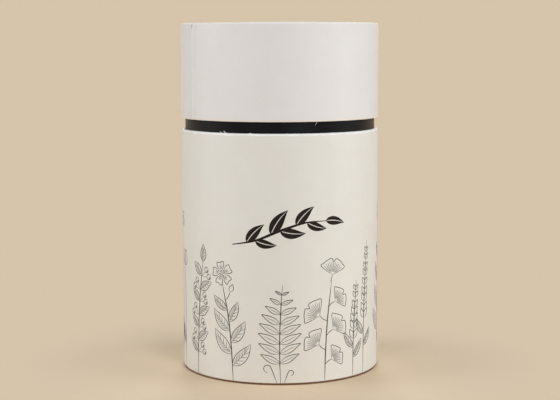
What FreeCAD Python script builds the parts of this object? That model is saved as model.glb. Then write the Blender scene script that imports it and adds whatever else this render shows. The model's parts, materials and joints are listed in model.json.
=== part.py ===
# Cylindrical gift tube box: a wrapped paperboard tube with a dark glued-in neck and a lift-off cap.
# Frame: millimetres, +Z up, origin at the centre of the foot, the front faces -Y.
import FreeCAD, Part
import math
import os
import Sketcher
from FreeCAD import Vector

DOCUMENT_NAME = "GiftTubeBox"
SHEET_NAME = "Dims"
PARTS_FOLDER = "parts"
SAME_PLACE = 1e-4
ORIGIN_POINT = (-1, 1)
LEVEL_AXIS = -1
UPRIGHT_AXIS = -2

# Driving dimensions: name, millimetres or degrees, meaning.
DRIVING = [
    ("bore_diameter", 76.2, "clear inside diameter of the lined tube"),
    ("liner_paper", 0.15, "thickness of the lining papers"),
    ("neck_board", 1.4, "wall of the neck tube"),
    ("neck_paper", 0.15, "thickness of the dark paper on the neck"),
    ("body_board", 1.25, "wall of the body tube"),
    ("cap_board", 0.9, "wall of the cap tube"),
    ("wrap_paper", 0.2, "thickness of the outer wrap papers"),
    ("glue_film", 0.05, "glue line between two round layers"),
    ("slide_clearance", 0.25, "radial gap between the neck and the cap lining"),
    ("body_height", 101.2, "height of the wrapped body, foot to mouth"),
    ("neck_reveal", 4.7, "dark neck left showing between body and cap"),
    ("cap_height", 39.1, "overall height of the cap"),
    ("base_recess", 1.5, "how far the base sits above the foot"),
    ("base_board", 1.8, "thickness of the base disc"),
    ("cap_disc_board", 1.8, "thickness of the disc that closes the cap"),
    ("foot_bare", 0.85, "bare board below the body wrap at the foot"),
    ("seam_overlap", 5.5, "width of the glued overlap of a wrap"),
    ("cap_seam_angle", 205.9, "where the cap wrap's overlap starts, in degrees from +X"),
    ("body_seam_angle", 103.0, "where the body wrap's overlap starts, in degrees from +X"),
    ("turn_in", 9.0, "width of the cap wrap folded over the top"),
    ("top_paper_inset", 1.6, "margin between the cap's edge and its top paper"),
    ("edge_round", 0.4, "rounding of the cap board's top edge"),
]

# Dimensions worked out from those: radii grow outwards from the bore, heights upwards from the foot.
DERIVED = [
    ("liner_inner_r", "bore_diameter / 2"),
    ("liner_outer_r", "liner_inner_r + liner_paper"),
    ("neck_inner_r", "liner_outer_r + glue_film"),
    ("neck_outer_r", "neck_inner_r + neck_board"),
    ("neck_wrap_inner_r", "neck_outer_r + glue_film"),
    ("neck_wrap_outer_r", "neck_wrap_inner_r + neck_paper"),
    ("body_inner_r", "neck_wrap_outer_r + glue_film"),
    ("body_outer_r", "body_inner_r + body_board"),
    ("body_wrap_inner_r", "body_outer_r + glue_film"),
    ("body_wrap_outer_r", "body_wrap_inner_r + wrap_paper"),
    ("cap_liner_inner_r", "neck_wrap_outer_r + slide_clearance"),
    ("cap_liner_outer_r", "cap_liner_inner_r + liner_paper"),
    ("cap_inner_r", "cap_liner_outer_r + glue_film"),
    ("cap_outer_r", "cap_inner_r + cap_board"),
    ("cap_wrap_inner_r", "cap_outer_r + glue_film"),
    ("cap_wrap_outer_r", "cap_wrap_inner_r + wrap_paper"),
    ("turn_in_inner_r", "cap_wrap_outer_r - turn_in"),
    ("top_paper_r", "cap_wrap_outer_r - top_paper_inset"),
    ("top_step_outer_r", "turn_in_inner_r - glue_film"),
    ("top_step_inner_r", "top_step_outer_r - wrap_paper"),
    ("foot", "0"),
    ("body_board_top", "body_height - wrap_paper"),
    ("base_board_bottom", "base_recess + wrap_paper"),
    ("base_top", "base_board_bottom + base_board"),
    ("floor_top", "base_top + liner_paper"),
    ("cap_bottom", "body_height + neck_reveal"),
    ("cap_top", "cap_bottom + cap_height"),
    ("turn_in_top", "cap_top - wrap_paper"),
    ("cap_board_top", "turn_in_top - wrap_paper"),
    ("cap_disc_bottom", "cap_board_top - cap_disc_board"),
    ("neck_top", "cap_disc_bottom - liner_paper"),
    ("wrap_edge_round", "edge_round + wrap_paper"),
    ("body_seam_inner_r", "body_wrap_outer_r - wrap_paper / 2"),
    ("body_seam_outer_r", "body_wrap_outer_r + wrap_paper"),
    ("body_seam_end", "body_seam_angle + seam_overlap / body_wrap_outer_r * 180 / pi"),
    ("cap_seam_inner_r", "cap_wrap_outer_r - wrap_paper / 2"),
    ("cap_seam_outer_r", "cap_wrap_outer_r + wrap_paper"),
    ("cap_seam_end", "cap_seam_angle + seam_overlap / cap_wrap_outer_r * 180 / pi"),
    ("cap_seam_top", "turn_in_top - wrap_edge_round"),
]

# Plain tubes: node, inner radius, outer radius, bottom, top.
TUBES = [
    ("body_tube", "body_inner_r", "body_outer_r", "foot", "body_board_top"),
    ("neck_tube", "neck_inner_r", "neck_outer_r", "base_top", "neck_top"),
    ("neck_wrap", "neck_wrap_inner_r", "neck_wrap_outer_r", "base_top", "neck_top"),
    ("inner_liner", "liner_inner_r", "liner_outer_r", "floor_top", "neck_top"),
    ("cap_tube", "cap_inner_r", "cap_outer_r", "cap_bottom", "cap_board_top"),
    ("cap_liner", "cap_liner_inner_r", "cap_liner_outer_r", "cap_bottom", "neck_top"),
]

# Plain discs: node, radius, bottom, top.
DISCS = [
    ("base_disc", "neck_wrap_outer_r", "base_board_bottom", "base_top"),
    ("base_paper", "neck_wrap_outer_r", "base_recess", "base_board_bottom"),
    ("floor_liner", "liner_outer_r", "base_top", "floor_top"),
    ("cap_disc", "cap_liner_outer_r", "cap_disc_bottom", "cap_board_top"),
    ("cap_disc_liner", "cap_liner_outer_r", "neck_top", "cap_disc_bottom"),
]

# Turned papers: the corners of their outlines as radius and height; None is the axis.
BODY_WRAP_OUTLINE = [
    ("body_wrap_inner_r", "foot_bare"),
    ("body_wrap_outer_r", "foot_bare"),
    ("body_wrap_outer_r", "body_height"),
    ("body_inner_r", "body_height"),
    ("body_inner_r", "body_board_top"),
    ("body_wrap_inner_r", "body_board_top"),
]
CAP_WRAP_OUTLINE = [
    ("cap_wrap_inner_r", "cap_bottom"),
    ("cap_wrap_outer_r", "cap_bottom"),
    ("cap_wrap_outer_r", "turn_in_top"),
    ("turn_in_inner_r", "turn_in_top"),
    ("turn_in_inner_r", "cap_board_top"),
    ("cap_wrap_inner_r", "cap_board_top"),
]
CAP_TOP_OUTLINE = [
    (None, "cap_board_top"),
    ("top_step_outer_r", "cap_board_top"),
    ("top_step_outer_r", "turn_in_top"),
    ("top_paper_r", "turn_in_top"),
    ("top_paper_r", "cap_top"),
    ("top_step_inner_r", "cap_top"),
    ("top_step_inner_r", "turn_in_top"),
    (None, "turn_in_top"),
]


def make_sheet(doc):
    """The spreadsheet: driving dimensions as plain numbers, then the formulas worked out from them."""
    sheet = doc.addObject("Spreadsheet::Sheet", SHEET_NAME)
    rows = [(name, str(value), note) for name, value, note in DRIVING]
    rows += [(name, f"={formula}", "worked out") for name, formula in DERIVED]
    for row, (name, content, note) in enumerate(rows, start=1):
        sheet.set(f"A{row}", name)
        sheet.set(f"B{row}", content)
        sheet.setAlias(f"B{row}", name)
        sheet.set(f"C{row}", note)
    doc.recompute()


def cell(name):
    """The expression that reads one dimension of the sheet."""
    return f"{SHEET_NAME}.{name}"


def rise(bottom, top):
    """The expression for the height of one level above another."""
    return f"{cell(top)} - {cell(bottom)}"


def size(item, name):
    """The present value of one dimension of the sheet, in the document that an object belongs to."""
    return item.Document.getObject(SHEET_NAME).get(name)


def make_body(doc, label, bottom):
    """An empty body whose own origin lies on the axis at the bottom of the piece."""
    body = doc.addObject("PartDesign::Body", label)
    body.Label = label
    body.setExpression("Placement.Base.z", cell(bottom))
    return body


def make_sketch(body, plane, name):
    """A sketch on one of the body's own origin planes."""
    sketch = body.newObject("Sketcher::SketchObject", name)
    support = next(item for item in body.Origin.OriginFeatures if item.Role == plane)
    sketch.AttachmentSupport = [(support, "")]
    sketch.MapMode = "FlatFace"
    return sketch


def bind(sketch, expression, value, *constraint):
    """Adds a dimensional constraint at its present value and ties it to an expression."""
    index = sketch.addConstraint(Sketcher.Constraint(*constraint, value))
    sketch.setExpression(f"Constraints[{index}]", expression)


def add_circle(sketch, radius):
    """A circle round the sketch's origin with a bound radius."""
    drawn_radius = size(sketch, radius)
    circle = sketch.addGeometry(Part.Circle(Vector(), Vector(0, 0, 1), drawn_radius))
    sketch.addConstraint(Sketcher.Constraint("Coincident", circle, 3, *ORIGIN_POINT))
    bind(sketch, cell(radius), drawn_radius, "Radius", circle)


def pad(body, sketch, length):
    """Pads a sketch upwards by an expression."""
    feature = body.newObject("PartDesign::Pad", f"{sketch.Name}_pad")
    feature.Profile = sketch
    feature.setExpression("Length", length)
    body.Document.recompute()


def make_tube(doc, label, inner, outer, bottom, top):
    """A straight tube between two radii and two heights."""
    body = make_body(doc, label, bottom)
    sketch = make_sketch(body, "XY_Plane", f"{label}_ring")
    add_circle(sketch, outer)
    add_circle(sketch, inner)
    pad(body, sketch, rise(bottom, top))
    return body


def make_disc(doc, label, radius, bottom, top):
    """A round disc between two heights."""
    body = make_body(doc, label, bottom)
    sketch = make_sketch(body, "XY_Plane", f"{label}_circle")
    add_circle(sketch, radius)
    pad(body, sketch, rise(bottom, top))
    return body


def make_turned(doc, label, outline):
    """A solid turned round Z from a closed outline of level and upright lines, the first one level."""
    bottom = outline[0][1]
    body = make_body(doc, label, bottom)
    sketch = make_sketch(body, "XZ_Plane", f"{label}_outline")
    corners = []
    for radius, height in outline:
        across = size(sketch, radius) if radius else 0
        corners.append(Vector(across, size(sketch, height) - size(sketch, bottom), 0))
    following = list(range(1, len(outline))) + [0]
    for index, after in enumerate(following):
        sketch.addGeometry(Part.LineSegment(corners[index], corners[after]))
    for index, after in enumerate(following):
        sketch.addConstraint(Sketcher.Constraint("Coincident", index, 2, after, 1))
        tie_line(sketch, index, outline[index], outline[after], bottom)
    turned = body.newObject("PartDesign::Revolution", f"{label}_turned")
    turned.Profile = sketch
    turned.ReferenceAxis = (sketch, ["V_Axis"])
    turned.Angle = 360
    doc.recompute()
    return body


def tie_line(sketch, line, start, end, bottom):
    """Ties one line of a turned outline: a level line by its height, an upright one by its radius."""
    radius, height = start
    if height == end[1]:
        sketch.addConstraint(Sketcher.Constraint("Horizontal", line))
        if height == bottom:
            sketch.addConstraint(Sketcher.Constraint("PointOnObject", line, 1, LEVEL_AXIS))
        else:
            drawn_height = size(sketch, height) - size(sketch, bottom)
            bind(sketch, rise(bottom, height), drawn_height, "DistanceY", *ORIGIN_POINT, line, 1)
    else:
        sketch.addConstraint(Sketcher.Constraint("Vertical", line))
        if radius is None:
            sketch.addConstraint(Sketcher.Constraint("PointOnObject", line, 1, UPRIGHT_AXIS))
        else:
            bind(sketch, cell(radius), size(sketch, radius), "DistanceX", *ORIGIN_POINT, line, 1)


def round_edge(body, radius, height, rounding):
    """Rounds the one circular edge of the body that lies at a radius and a height."""
    edge_radius = size(body, radius)
    edge_height = size(body, height)
    base = body.Tip
    names = []
    for number, edge in enumerate(body.Shape.Edges, start=1):
        circle = edge.Curve
        if not isinstance(circle, Part.Circle) or abs(circle.Radius - edge_radius) > SAME_PLACE:
            continue
        if abs(circle.Center.z - edge_height) < SAME_PLACE:
            names.append(f"Edge{number}")
    fillet = body.newObject("PartDesign::Fillet", f"{body.Name}_{rounding}")
    fillet.Base = (base, names)
    fillet.setExpression("Radius", cell(rounding))
    body.Document.recompute()


def around(radius, degrees):
    """The point at a radius and an angle round the axis."""
    return FreeCAD.Rotation(Vector(0, 0, 1), degrees).multVec(Vector(radius, 0, 0))


def add_seam(body, seam, bottom, top):
    """The glued overlap of a wrap: one more thickness of paper on a narrow sector of its outside."""
    radii = (f"{seam}_inner_r", f"{seam}_outer_r")
    sides = (f"{seam}_angle", f"{seam}_end")
    sketch = make_sketch(body, "XY_Plane", f"{body.Name}_overlap")
    inner_r, outer_r = (size(sketch, radius) for radius in radii)
    angles = [size(sketch, side) for side in sides]
    middle = sum(angles) / 2
    arcs = []
    for radius, drawn_r in zip(radii, (inner_r, outer_r)):
        first, last = (around(drawn_r, angle) for angle in angles)
        arc = sketch.addGeometry(Part.Arc(first, around(drawn_r, middle), last))
        sketch.addConstraint(Sketcher.Constraint("Coincident", arc, 3, *ORIGIN_POINT))
        bind(sketch, cell(radius), drawn_r, "Radius", arc)
        arcs.append(arc)
    for end, (side, angle) in enumerate(zip(sides, angles), start=1):
        line = sketch.addGeometry(Part.LineSegment(around(inner_r, angle), around(outer_r, angle)))
        for point, arc in enumerate(arcs, start=1):
            sketch.addConstraint(Sketcher.Constraint("Coincident", line, point, arc, end))
        sketch.addConstraint(Sketcher.Constraint("PointOnObject", *ORIGIN_POINT, line))
        bind(sketch, f"{cell(side)} * 1deg", math.radians(angle), "Angle", line)
    pad(body, sketch, rise(bottom, top))


def make_pieces(doc):
    """Every piece of the box as a body of its own, by name."""
    pieces = {}
    for label, *sizes in TUBES:
        pieces[label] = make_tube(doc, label, *sizes)
    for label, *sizes in DISCS:
        pieces[label] = make_disc(doc, label, *sizes)
    pieces["body_wrap"] = make_turned(doc, "body_wrap", BODY_WRAP_OUTLINE)
    pieces["cap_wrap"] = make_turned(doc, "cap_wrap", CAP_WRAP_OUTLINE)
    pieces["cap_top_paper"] = make_turned(doc, "cap_top_paper", CAP_TOP_OUTLINE)
    round_edge(pieces["cap_tube"], "cap_outer_r", "cap_board_top", "edge_round")
    round_edge(pieces["cap_wrap"], "cap_wrap_inner_r", "cap_board_top", "edge_round")
    round_edge(pieces["cap_wrap"], "cap_wrap_outer_r", "turn_in_top", "wrap_edge_round")
    add_seam(pieces["cap_wrap"], "cap_seam", "cap_bottom", "cap_seam_top")
    add_seam(pieces["body_wrap"], "body_seam", "foot_bare", "body_height")
    return pieces


def check(doc, pieces):
    """Stops if any object failed, or a piece is not one sound solid."""
    failed = [item.Name for item in doc.Objects if {"Invalid", "Error"} & set(item.State)]
    loose = [
        label
        for label, piece in pieces.items()
        if piece.Shape.isNull() or not piece.Shape.isValid() or len(piece.Shape.Solids) != 1
    ]
    if failed or loose:
        raise RuntimeError(f"failed objects {failed}, unsound pieces {loose}")


def main():
    doc = FreeCAD.newDocument(DOCUMENT_NAME)
    make_sheet(doc)
    pieces = make_pieces(doc)
    doc.recompute()
    check(doc, pieces)
    os.makedirs(PARTS_FOLDER, exist_ok=True)
    for label, piece in pieces.items():
        piece.Shape.exportStep(os.path.join(PARTS_FOLDER, f"{label}.step"))
        print(f"{label}: {piece.Shape.Volume:.1f} mm3")


main()
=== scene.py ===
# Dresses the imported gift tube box: glued papers, raw board edges, dark neck, printed drawing and studio.
# Metres in the shared frame: +Z up, the front faces -Y. Angles run from +X towards +Y.
import json
import math
import random
from math import cos, pi, radians, sin, tau

import bpy
from mathutils import Color, Matrix, Vector, noise

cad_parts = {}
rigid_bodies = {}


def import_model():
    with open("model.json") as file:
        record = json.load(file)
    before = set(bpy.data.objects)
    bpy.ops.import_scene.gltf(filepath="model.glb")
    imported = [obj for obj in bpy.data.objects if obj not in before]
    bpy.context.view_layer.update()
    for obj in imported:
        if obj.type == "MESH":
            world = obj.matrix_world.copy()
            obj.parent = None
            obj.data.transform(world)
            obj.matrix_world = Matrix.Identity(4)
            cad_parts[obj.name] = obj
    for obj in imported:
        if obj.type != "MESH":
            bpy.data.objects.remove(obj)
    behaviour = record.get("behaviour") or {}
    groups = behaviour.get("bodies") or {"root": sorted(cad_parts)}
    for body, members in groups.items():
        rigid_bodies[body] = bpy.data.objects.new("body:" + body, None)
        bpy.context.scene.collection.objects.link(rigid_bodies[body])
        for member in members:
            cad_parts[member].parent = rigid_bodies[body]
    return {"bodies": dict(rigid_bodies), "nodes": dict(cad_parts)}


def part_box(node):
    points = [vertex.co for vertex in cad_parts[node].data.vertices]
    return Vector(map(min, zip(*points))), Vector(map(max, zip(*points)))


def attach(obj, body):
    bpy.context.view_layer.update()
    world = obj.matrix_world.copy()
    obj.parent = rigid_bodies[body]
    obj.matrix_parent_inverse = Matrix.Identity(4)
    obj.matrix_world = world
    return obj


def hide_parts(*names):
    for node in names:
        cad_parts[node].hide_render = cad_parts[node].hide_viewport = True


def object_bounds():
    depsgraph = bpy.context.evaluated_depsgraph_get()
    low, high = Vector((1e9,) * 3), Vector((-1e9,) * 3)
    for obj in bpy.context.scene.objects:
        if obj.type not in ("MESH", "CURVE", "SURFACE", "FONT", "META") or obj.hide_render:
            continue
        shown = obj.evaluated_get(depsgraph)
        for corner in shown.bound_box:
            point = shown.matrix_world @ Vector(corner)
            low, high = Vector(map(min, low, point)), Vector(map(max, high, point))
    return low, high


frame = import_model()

# Units, and the direction of the front
MM = 0.001
FRONT = -pi / 2

# Only the frame is kept of the start-up scene
framed = {*frame["nodes"].values(), *frame["bodies"].values()}
for item in set(bpy.data.objects) - framed:
    bpy.data.objects.remove(item)
CAD_LOW, CAD_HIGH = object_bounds()


def extent(node):
    """Underside, upper side and outside radius of a round CAD node."""
    low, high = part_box(node)
    return low.z, high.z, high.x


# Sizes read from the frame
BODY_FOOT, MOUTH, BODY_R = extent("body_wrap")
_, BODY_BOARD_TOP, BODY_BOARD_R = extent("body_tube")
_, _, NECK_R = extent("neck_wrap")
_, _, NECK_BOARD_R = extent("neck_tube")
_, _, LINER_R = extent("inner_liner")
CAP_FOOT, FOLD_TOP, CAP_R = extent("cap_wrap")
_, CAP_BOARD_TOP, CAP_BOARD_R = extent("cap_tube")
_, _, CAP_LINER_R = extent("cap_liner")
_, CAP_TOP, CAP_LABEL_R = extent("cap_top_paper")

# Thicknesses of the layers
GLUE = 0.05 * MM
WRAP = BODY_R - BODY_BOARD_R - GLUE
NECK_SHEET = NECK_R - NECK_BOARD_R - GLUE
LINER = 0.15 * MM

# Glued overlaps: first and last angle in degrees, with the cut edge at the last one
BODY_SEAM = (103.0, 110.6)
CAP_SEAM = (206.9, 214.5)
NECK_SEAM = (58.0, 66.0)
LINING_SEAM = (112.0, 120.0)
CAP_LINING_SEAM = (252.0, 260.0)

# Overlaps: degrees of the rise and of the cut, degrees between points, and rise as a share of the paper
SEAM_RAMP = 2.2
CUT_WIDTH = 0.12
SEAM_STEP = 0.2
SEAM_SHARE = 0.6
CUT_BEVEL = 0.07 * MM

# Unevenness of the glued papers
WAVE_DEPTH = 0.02 * MM
WAVE_LENGTH = 16 * MM
RIPPLE_DEPTH = 0.05 * MM
RIPPLE_LENGTH = 11 * MM

# Folded edges of the wraps
MOUTH_ROUND = 0.95 * MM
RAGGED = 0.08 * MM
RAGGED_TURNS = 60
TURN_STEPS = 8
FOLD_ROUND = 0.6 * MM
TURN_IN_R = CAP_R - 9.0 * MM
NOTCH_COUNT = 42
NOTCH_DEPTH = 0.16 * MM
NOTCH_END = CAP_R - 1.9 * MM
NOTCH_HALF = 0.75 * MM

# Marks beside the cap's overlap: a notch at its top, with a grey sliver of painted shade in it, and a
# shallow valley along it
TICK_ANGLE = 211.2
TICK_HEIGHT = 2.5 * MM
TICK_HALF = 1.0 * MM
TICK_DEPTH = 0.25 * MM
TICK_SHADE_HALF = 0.42 * MM
TICK_FINE = (TICK_ANGLE - 1, TICK_ANGLE + 1, 0.05)
SHADE_STEPS = 6
VALLEY_ANGLE = 213.3
VALLEY_HALF = 1.4 * MM
VALLEY_DEPTH = 0.2 * MM

# Label on the cap: cut edge, soft step under it, depth of the notches that show, rings of points
LABEL_EDGE = 0.06 * MM
LABEL_SOFT = 0.9 * MM
LABEL_PRESS = 0.05 * MM
LABEL_RINGS = 12
HOLLOW_RINGS = 8

# Points round the papers and boards, and up their walls
BODY_ROUND = 720
CAP_ROUND = 1080
TUBE_ROUND = 540
DISC_ROUND = 360
BODY_WALL_STEPS = 50
CAP_WALL_STEPS = 22
TICK_WALL_STEPS = 6
LEDGE_STEPS = 4
FOLD_STEPS = 12
BURR_STEPS = 6
SHARP_EDGE = radians(38)

# Torn spots on the mouth: degrees from the front, half width and height in millimetres
BURRS = [(-35.4, 0.3, 0.3), (-16.7, 1.1, 0.3), (4.0, 0.8, 0.12), (31.0, 1.2, 0.14)]

# Loose fibres at the mouth: degrees from the front at both ends; millimetres of depth, rise and thickness
FIBRE_ROOT = 0.2 * MM
FIBRE_TIP = 0.4 * MM
MOUTH_FIBRES = [
    (-35.1, -35.5, 0.7, 0.65, 0.3),
    (-32.2, -33.1, 0.7, 0.9, 0.28),
    (-32.1, -31.6, 0.6, 0.4, 0.22),
    (-27.0, -26.3, 0.6, 0.25, 0.16),
    (9.0, 9.8, 0.6, 0.2, 0.14),
]

# Lint on the neck: degrees, radius and height at both ends, and thickness
NECK_LINT = (
    (20.4, NECK_R + 0.08 * MM, CAP_FOOT - 1.5 * MM),
    (21.7, NECK_R + 0.12 * MM, CAP_FOOT + 0.3 * MM),
    0.13 * MM,
)
FIBRE_SIDES = 6
FIBRE_STEPS = 8
FIBRE_BEND = 0.12
FIBRE_THIN = 0.25
FIBRE_PHASE = (0.25, 0.7)

# Ink on the paper: how far it stands on it and reaches into it
INK_RISE = 0.015 * MM
INK_ROOT = 0.04 * MM

# Pen and brush, in millimetres on the unrolled paper
PEN_STEP = 0.45
PEN_WOBBLE = 0.07
PEN_WAVE = 2.5
PEN_END = 0.35
PEN_TAPER = 0.22
STEM = 0.46
OUTLINE = 0.29
VEIN = 0.17
FROND_STEM = 0.8 * STEM
SPIRE_STEM = 0.85 * STEM
BRUSH_CELL = 0.8

# Dab: places along it and half widths. Leaf: points of its spine, fullest place and veins of each side
DAB = ((-1, 0.25), (-0.6, 0.8), (0, 1), (0.6, 0.8), (1, 0.25))
BUD_STEPS = 6
LEAF_STEPS = 12
LEAF_FULLEST = 0.8
LEAF_VEINS = ((-1, 4), (1, 8))
VEINED_STEPS = 8
VEIN_MIDDLE = 0.36
VEIN_TIP = 0.82

# Floor: half width, and the distances over which it loses its warmth and turns into the backdrop
FLOOR_HALF = 6.0
FLOOR_FADE = (0.06, 0.26)
FLOOR_DRIFT = 0.02
BACKDROP_REACH = (0.045, 0.12)

# Camera, matched to the photograph
IMAGE_WIDTH = 560
SENSOR = 36.0
FOCAL_PIXELS = 1369.6
CAMERA_BACK = 0.5801
CAMERA_HEIGHT = 0.13747
CAMERA_PITCH = radians(6.607)
CAMERA_ROLL = radians(-0.178)
CAMERA_NEAR = 0.01


# Materials

PLAIN_SHINE = 0.5
LABEL_SHINE = 0.06
NECK_SHINE = 0.17
INK_SHINE = 0.2
FLOOR_SHINE = 0.1
WHITE_SHEEN = (1, 1, 1, 1)
NECK_SHEEN = (0.72, 0.84, 1, 1)


def srgb(*values):
    """A linear colour from the 0 to 255 values of a screen colour."""
    return (*Color([value / 255 for value in values]).from_srgb_to_scene_linear(), 1)


class Graph:
    """Short-hand for the node tree of a material or a world."""

    def __init__(self, owner):
        owner.use_nodes = True
        self.tree = owner.node_tree

    def fill(self, node, sockets):
        """Sets a node's inputs to constants, or joins them to outputs."""
        for key, value in sockets.items():
            if isinstance(value, bpy.types.NodeSocket):
                self.tree.links.new(value, node.inputs[key])
            else:
                node.inputs[key].default_value = value

    def node(self, kind, output, sockets, **settings):
        """Adds a node and gives one of its outputs."""
        node = self.tree.nodes.new(f"ShaderNode{kind}")
        for key, value in settings.items():
            setattr(node, key, value)
        self.fill(node, sockets)
        return node.outputs[output]

    def math(self, operation, first, second=0.0):
        """One arithmetic node on sockets or numbers."""
        return self.node("Math", "Value", {0: first, 1: second}, operation=operation)

    def seen(self):
        """1 where it is seen, also mirrored or through glass, and 0 where it lights other things."""
        rays = self.tree.nodes.new("ShaderNodeLightPath").outputs
        mirrored = self.math("MAXIMUM", rays["Is Glossy Ray"], rays["Is Transmission Ray"])
        return self.math("MAXIMUM", rays["Is Camera Ray"], mirrored)


class Surface(Graph):
    """The node tree of a new material, in the object's own coordinates."""

    def __init__(self, name):
        self.material = bpy.data.materials.new(name)
        super().__init__(self.material)
        self.shader = self.tree.nodes["Principled BSDF"]
        self.place = self.node("TexCoord", "Object", {})

    def noise(self, size, detail=3.0, rough=0.55, stretch=(1, 1, 1)):
        """Noise of about size metres, lengthened by stretch per axis."""
        scale = [1 / (size * part) for part in stretch]
        spot = self.node("Mapping", "Vector", {"Vector": self.place, "Scale": scale})
        sockets = {"Vector": spot, "Scale": 1.0, "Detail": detail, "Roughness": rough}
        return self.node("TexNoise", "Fac", sockets)

    def ramp(self, value, low, high, at=(0.3, 0.7)):
        """Maps a value to a range between two numbers."""
        sockets = {"Value": value, "From Min": at[0], "From Max": at[1], "To Min": low, "To Max": high}
        return self.node("MapRange", "Result", sockets, interpolation_type="SMOOTHSTEP")

    def mix(self, factor, first, second):
        """Mixes two colours; each is a colour or a socket."""
        return self.node("Mix", 2, {"Factor": factor, 6: first, 7: second}, data_type="RGBA")

    def height(self):
        """The height above the foot."""
        return self.node("SeparateXYZ", "Z", {"Vector": self.place})

    def radius(self):
        """The distance from the axis."""
        flat = self.node("VectorMath", "Vector", {0: self.place, 1: (1, 1, 0)}, operation="MULTIPLY")
        return self.node("VectorMath", "Value", {0: flat}, operation="LENGTH")

    def finish(self, colour, rough, bumps, shine=PLAIN_SHINE, sheen=WHITE_SHEEN):
        """Fills the shader; bumps are pairs of a height value and its depth in metres."""
        sockets = {"Base Color": colour, "Roughness": rough}
        sockets |= {"Specular IOR Level": shine, "Specular Tint": sheen}
        for value, depth in bumps:
            below = {"Normal": sockets["Normal"]} if "Normal" in sockets else {}
            sockets["Normal"] = self.node("Bump", "Normal", {"Height": value, "Distance": depth, **below})
        self.fill(self.shader, sockets)
        return self.material


def paper(name, colour, shade, light, worn_and_lit_edges=(), shine=PLAIN_SHINE):
    """Smooth paper: cloudy stock, fine fibres, and edge bands as (height, reach, tint), partly worn and
    partly painted light.
    """
    graph = Surface(name)
    clouds = graph.noise(9 * MM, detail=4)
    fibres = graph.noise(0.35 * MM, detail=4, rough=0.65, stretch=(2.4, 2.4, 1))
    flecks = graph.noise(0.9 * MM, detail=1, stretch=(1.5, 1.5, 1))
    tint = graph.mix(graph.ramp(clouds, 0, 1, at=(0.2, 0.8)), shade, colour)
    tint = graph.mix(graph.ramp(fibres, 0, 0.3, at=(0.52, 0.75)), tint, light)
    tint = graph.mix(graph.ramp(flecks, 0, 0.5, at=(0.74, 0.8)), tint, shade)
    # Edge bands: worn paper, with painted highlight on lit edges and painted warm bounce light on the cap's
    # lower edge
    for level, reach, wear_and_light_tint in worn_and_lit_edges:
        near = graph.math("ABSOLUTE", graph.math("SUBTRACT", graph.height(), level))
        ragged = graph.ramp(graph.noise(2.2 * MM, detail=3), 0.8 * reach, 1.2 * reach)
        wear_and_light_mask = graph.ramp(graph.math("DIVIDE", near, ragged), 1, 0, at=(0.6, 1.1))
        tint = graph.mix(wear_and_light_mask, tint, wear_and_light_tint)
    rough = graph.ramp(graph.noise(2.5 * MM, detail=5), 0.46, 0.58)
    bumps = [(clouds, 0.02 * MM), (fibres, 0.012 * MM)]
    return graph.finish(tint, rough, bumps, shine)


def board(name, colour, dark, light):
    """Raw rolled board with fibres and the thin lines of its plies."""
    graph = Surface(name)
    fibres = graph.noise(0.25 * MM, detail=5, rough=0.7, stretch=(1.6, 1.6, 1))
    plies = graph.math("SINE", graph.math("MULTIPLY", graph.radius(), 2 * pi / (0.27 * MM)))
    uneven = graph.math("ADD", plies, graph.math("MULTIPLY", graph.noise(1.2 * MM), 2.4))
    tint = graph.mix(graph.ramp(fibres, 0, 1), dark, colour)
    tint = graph.mix(graph.ramp(uneven, 0, 0.6, at=(0.9, 2.2)), tint, light)
    return graph.finish(tint, graph.ramp(fibres, 0.78, 0.95), [(uneven, 0.03 * MM), (fibres, 0.04 * MM)])


def cut_core(name, colour, shade):
    """The soft pale core that shows where paper was cut; the same stock in grey is painted shade in the
    notch at the top of the cap's overlap.
    """
    graph = Surface(name)
    fibres = graph.noise(0.12 * MM, detail=4, rough=0.7, stretch=(2, 2, 1))
    tint = graph.mix(graph.ramp(fibres, 0, 1), shade, colour)
    return graph.finish(tint, graph.ramp(fibres, 0.75, 0.9), [(fibres, 0.03 * MM)])


def dark_paper(name, colour, lighter):
    """Black neck paper with fine lines round the tube and a few pale rubs."""
    graph = Surface(name)
    lines = graph.noise(0.5 * MM, detail=4, rough=0.6, stretch=(30, 30, 0.6))
    fibres = graph.noise(0.3 * MM, detail=4, rough=0.65, stretch=(1.8, 1.8, 1))
    rubs = graph.noise(5 * MM, detail=6, rough=0.7, stretch=(0.35, 0.35, 2.5))
    tint = graph.mix(graph.ramp(lines, 0, 0.6, at=(0.45, 0.75)), colour, lighter)
    tint = graph.mix(graph.ramp(rubs, 0, 0.5, at=(0.62, 0.8)), tint, lighter)
    bumps = [(lines, 0.012 * MM), (fibres, 0.01 * MM)]
    return graph.finish(tint, graph.ramp(lines, 0.34, 0.42), bumps, NECK_SHINE, NECK_SHEEN)


def lining(name, colour, shade):
    """Plain lining paper with a soft fibre and a faint mottle."""
    graph = Surface(name)
    mottle = graph.noise(4 * MM, detail=5)
    fibres = graph.noise(0.4 * MM, detail=4, rough=0.7, stretch=(1, 1, 3))
    tint = graph.mix(graph.ramp(mottle, 0, 1), shade, colour)
    tint = graph.mix(graph.ramp(fibres, 0, 0.25, at=(0.55, 0.7)), tint, shade)
    return graph.finish(tint, graph.ramp(fibres, 0.7, 0.85), [(fibres, 0.015 * MM)])


def ink(name, colour, thin):
    """Printing ink that lies a little thinner in places."""
    graph = Surface(name)
    grain = graph.noise(0.5 * MM, detail=4, rough=0.7)
    tint = graph.mix(graph.ramp(grain, 0, 1, at=(0.5, 0.75)), colour, thin)
    rough = graph.ramp(grain, 0.5, 0.7)
    return graph.finish(tint, rough, [(grain, 0.004 * MM)], INK_SHINE)


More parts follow.
